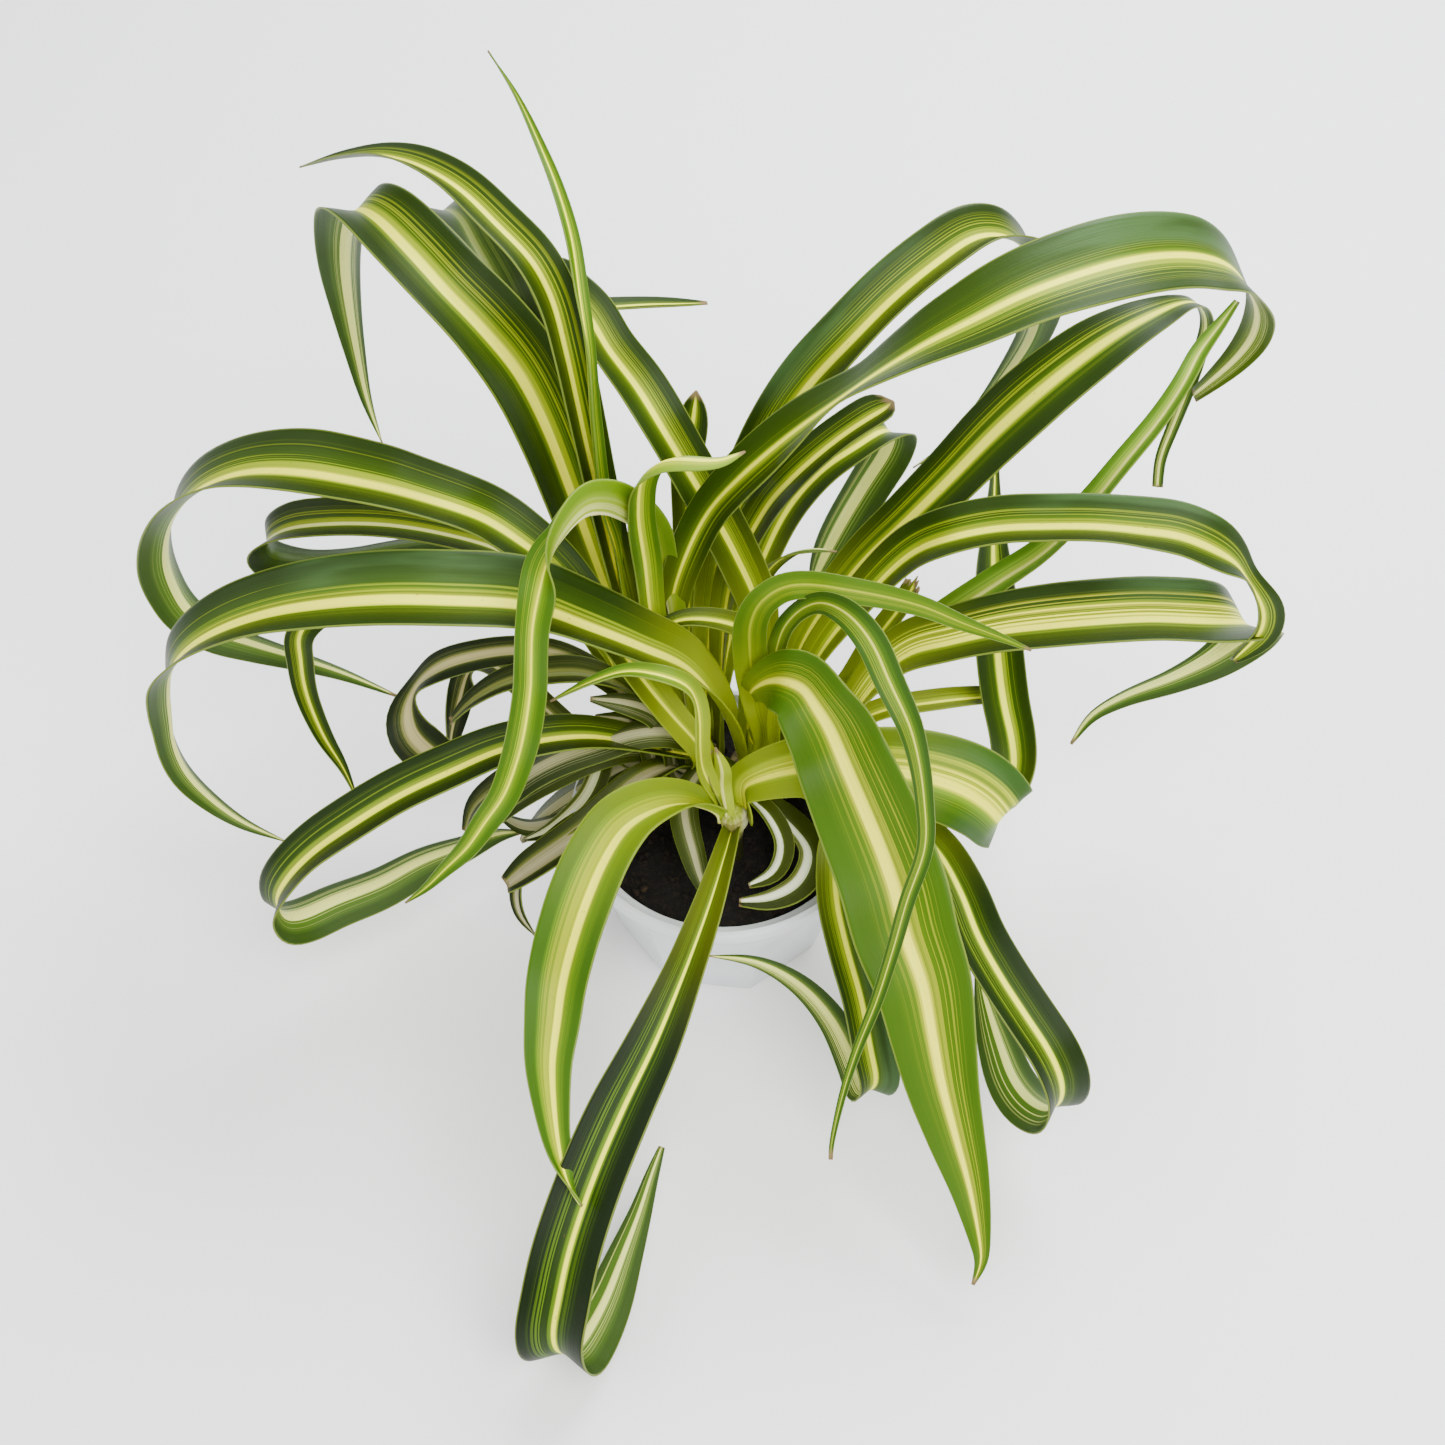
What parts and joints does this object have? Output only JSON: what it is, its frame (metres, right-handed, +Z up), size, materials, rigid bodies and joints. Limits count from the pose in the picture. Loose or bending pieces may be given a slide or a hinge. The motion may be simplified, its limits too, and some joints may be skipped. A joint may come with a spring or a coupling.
{
  "type": "potted_spider_plant",
  "caption": "Curly spider plant with arching, curling leaves striped in green and cream, in a small white plastic pot with a round rim and a faceted tapered wall.",
  "frame": {"origin": "Middle of the pot's flat round underside, where it stands on the table.", "axes": "+Z is up, out of the pot. -Y is the front, towards the viewer of the picture. +X is to the viewer's right."},
  "size_m": [0.3578, 0.313, 0.2387],
  "materials": {
    "pot_plastic": "satin",
    "potting_soil": "matte",
    "crown_a_root": "matte",
    "crown_b_root": "matte",
    "stalk_flesh": "satin",
    "leaf_young": "satin",
    "leaf_grown": "satin",
    "leaf_aged": "satin"
  },
  "bodies": {
    "root": {"pot": "pot_plastic", "soil": "potting_soil", "crown_a": "crown_a_root", "crown_b": "crown_b_root", "plantlet_stalk": "stalk_flesh", "leaf_spear": "leaf_young", "leaf_back_arch": "leaf_grown", "leaf_back_fold": "leaf_grown", "leaf_back_low": "leaf_grown", "leaf_high_left": "leaf_grown", "leaf_dark_left": "leaf_grown", "leaf_small_round": "leaf_grown", "leaf_front_curl": "leaf_young", "leaf_young_hook": "leaf_young", "leaf_right_arch": "leaf_grown", "leaf_back_right": "leaf_grown", "leaf_mid_right": "leaf_grown", "leaf_striped_fold": "leaf_grown", "leaf_under_curl": "leaf_grown", "leaf_tall_left": "leaf_grown", "leaf_big_left": "leaf_grown", "leaf_heart_hook": "leaf_young", "leaf_heart_thread": "leaf_young", "leaf_big_front": "leaf_young", "leaf_right_drop": "leaf_grown", "leaf_right_long": "leaf_grown", "leaf_right_low_arch": "leaf_grown", "leaf_right_upper": "leaf_grown", "leaf_right_wide": "leaf_grown", "leaf_low_right": "leaf_grown", "leaf_back_sweep": "leaf_grown", "leaf_torn_stub": "leaf_aged", "leaf_thin_arch": "leaf_grown", "leaf_beside_pot": "leaf_aged", "leaf_low_left": "leaf_grown", "leaf_striped_right": "leaf_young", "leaf_long_front": "leaf_grown", "leaf_plantlet": "leaf_young", "leaf_plantlet_hook": "leaf_young", "leaf_sheath": "leaf_young", "leaf_inner_left": "leaf_aged", "leaf_small_loop": "leaf_aged", "leaf_pale_curl": "leaf_aged", "leaf_left_tail": "leaf_aged", "leaf_brown_left": "leaf_aged", "leaf_under_left": "leaf_aged", "leaf_over_soil": "leaf_aged", "leaf_inside_curl": "leaf_aged", "leaf_inside_ring": "leaf_aged"}
  },
  "joints": []
}
